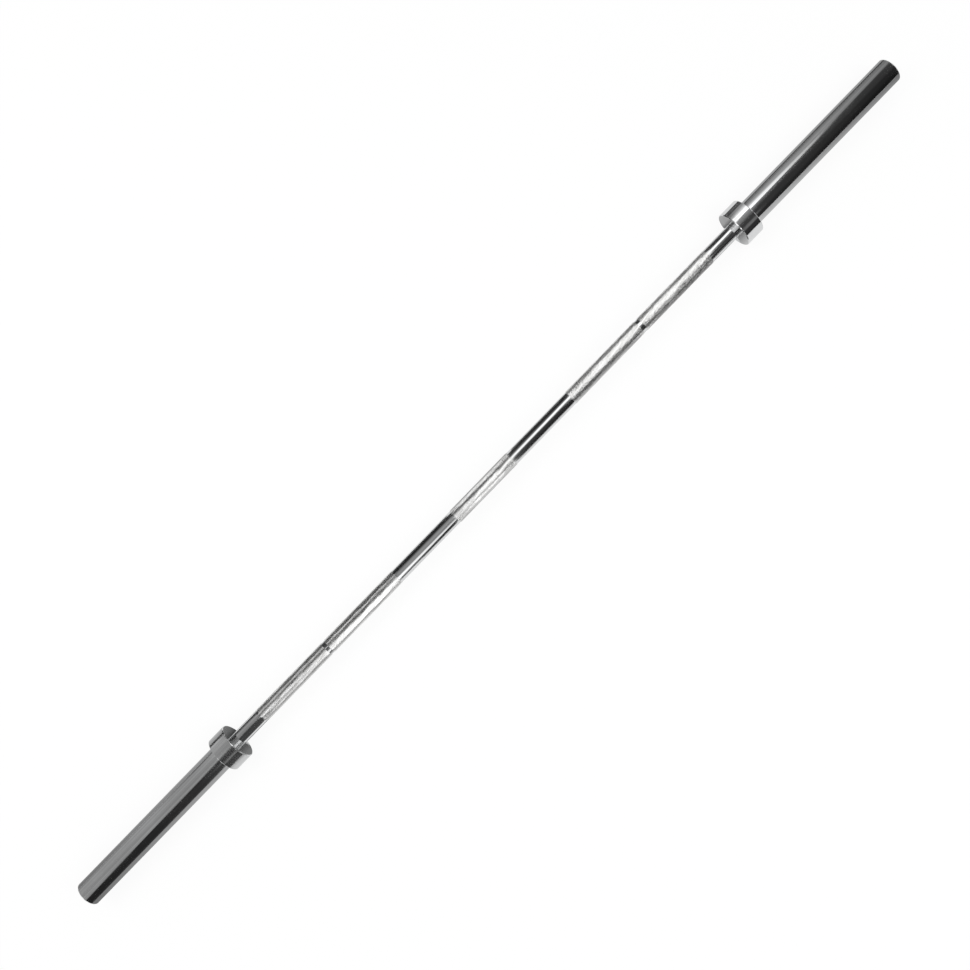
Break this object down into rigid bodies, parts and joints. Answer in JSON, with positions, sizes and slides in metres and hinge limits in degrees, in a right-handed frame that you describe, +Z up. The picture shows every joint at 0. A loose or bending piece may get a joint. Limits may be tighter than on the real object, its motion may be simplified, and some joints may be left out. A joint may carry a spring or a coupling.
{
  "type": "olympic barbell",
  "caption": "Chromed steel barbell: a knurled grip shaft with ring marks, and free-turning smooth sleeves with plate-stop collars for loading weight plates.",
  "frame": {"origin": "middle of the shaft, on the bar's axis", "axes": "+X along the bar to its right end, +Z up, +Y away from the front"},
  "size_m": [2.134, 0.075, 0.075],
  "materials": {
    "shaft_chrome": "bright chrome, knurled in bands",
    "sleeve_chrome": "polished chrome",
    "collar_chrome": "chrome over turned steel",
    "cap_chrome": "chrome, fine turned",
    "bronze": "oiled sintered bronze",
    "washer_steel": "zinc plated",
    "spring_steel": "black phosphated",
    "seal_rubber": "matte"
  },
  "bodies": {
    "shaft_assembly": {"shaft": "shaft_chrome", "left_inner_thrust_washer": "bronze", "left_outer_thrust_washer": "bronze", "left_retaining_washer": "washer_steel", "left_shaft_circlip": "spring_steel", "right_inner_thrust_washer": "bronze", "right_outer_thrust_washer": "bronze", "right_retaining_washer": "washer_steel", "right_shaft_circlip": "spring_steel"},
    "left_sleeve_assembly": {"left_sleeve": "sleeve_chrome", "left_collar": "collar_chrome", "left_grease_seal": "seal_rubber", "left_inner_bushing": "bronze", "left_outer_bushing": "bronze", "left_end_cap": "cap_chrome", "left_end_circlip": "spring_steel"},
    "right_sleeve_assembly": {"right_sleeve": "sleeve_chrome", "right_collar": "collar_chrome", "right_grease_seal": "seal_rubber", "right_inner_bushing": "bronze", "right_outer_bushing": "bronze", "right_end_cap": "cap_chrome", "right_end_circlip": "spring_steel"}
  },
  "joints": [
    {"name": "left_sleeve_spin", "type": "hinge", "parent": "shaft_assembly", "child": "left_sleeve_assembly", "pos_m": [-0.87, 0, 0], "axis": [1, 0, 0], "continuous": true},
    {"name": "right_sleeve_spin", "type": "hinge", "parent": "shaft_assembly", "child": "right_sleeve_assembly", "pos_m": [0.87, 0, 0], "axis": [1, 0, 0], "continuous": true}
  ]
}
